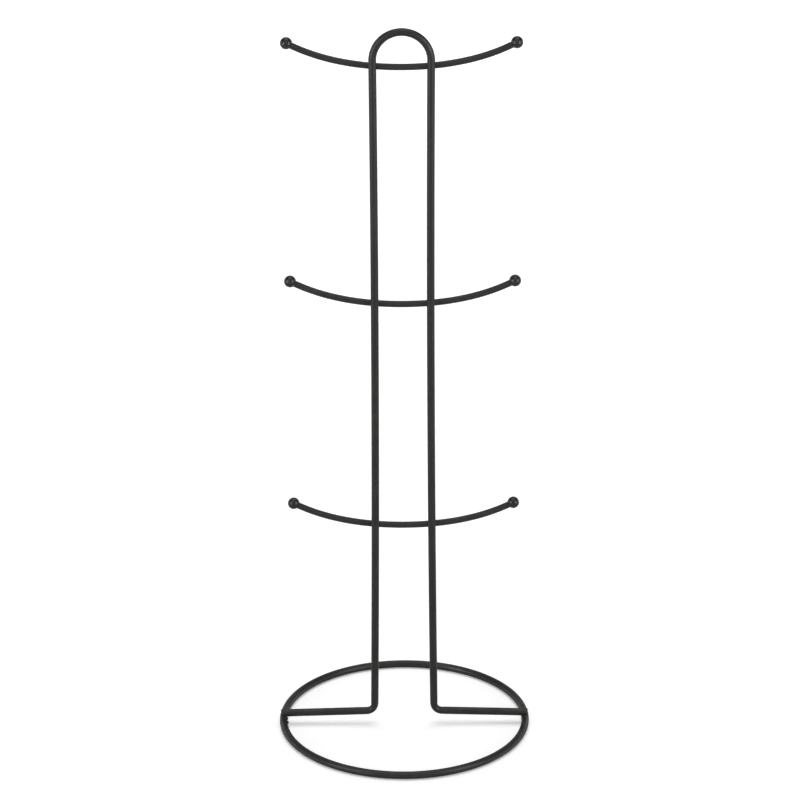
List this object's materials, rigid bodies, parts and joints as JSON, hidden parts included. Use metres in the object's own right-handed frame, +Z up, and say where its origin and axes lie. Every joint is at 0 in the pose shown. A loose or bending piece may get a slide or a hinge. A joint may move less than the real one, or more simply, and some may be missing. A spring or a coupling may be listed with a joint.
{
  "type": "mug tree",
  "caption": "Freestanding countertop rack of black-coated wire: a flat ring base, a tall inverted-U upright and curved ball-tipped arms that hold mugs by their handles on both sides.",
  "frame": {"origin": "on the table, at the centre of the base ring", "axes": "+Z up, along the upright; the front faces -Y, the arms cross behind the upright on its +Y side; the arms reach out along -X (left) and +X (right); the upright lies 2.35 mm in front of the origin and the arms as far behind it"},
  "size_m": [0.16, 0.16, 0.463],
  "materials": {
    "coated_heavy_wire": "satin black powder coat",
    "coated_arm_wire": "satin black powder coat",
    "coated_ball": "satin black powder coat, slightly glossier",
    "coated_weld": "black powder coat over a rough weld bead"
  },
  "bodies": {
    "root": {"base_ring": "coated_heavy_wire", "weld_base_ring": "coated_weld", "upright_frame": "coated_heavy_wire", "weld_foot_left": "coated_weld", "weld_foot_right": "coated_weld", "arm_top": "coated_arm_wire", "ball_top_left": "coated_ball", "ball_top_right": "coated_ball", "weld_top_left": "coated_weld", "weld_top_right": "coated_weld", "arm_middle": "coated_arm_wire", "ball_middle_left": "coated_ball", "ball_middle_right": "coated_ball", "weld_middle_left": "coated_weld", "weld_middle_right": "coated_weld", "arm_bottom": "coated_arm_wire", "ball_bottom_left": "coated_ball", "ball_bottom_right": "coated_ball", "weld_bottom_left": "coated_weld", "weld_bottom_right": "coated_weld"}
  },
  "joints": []
}
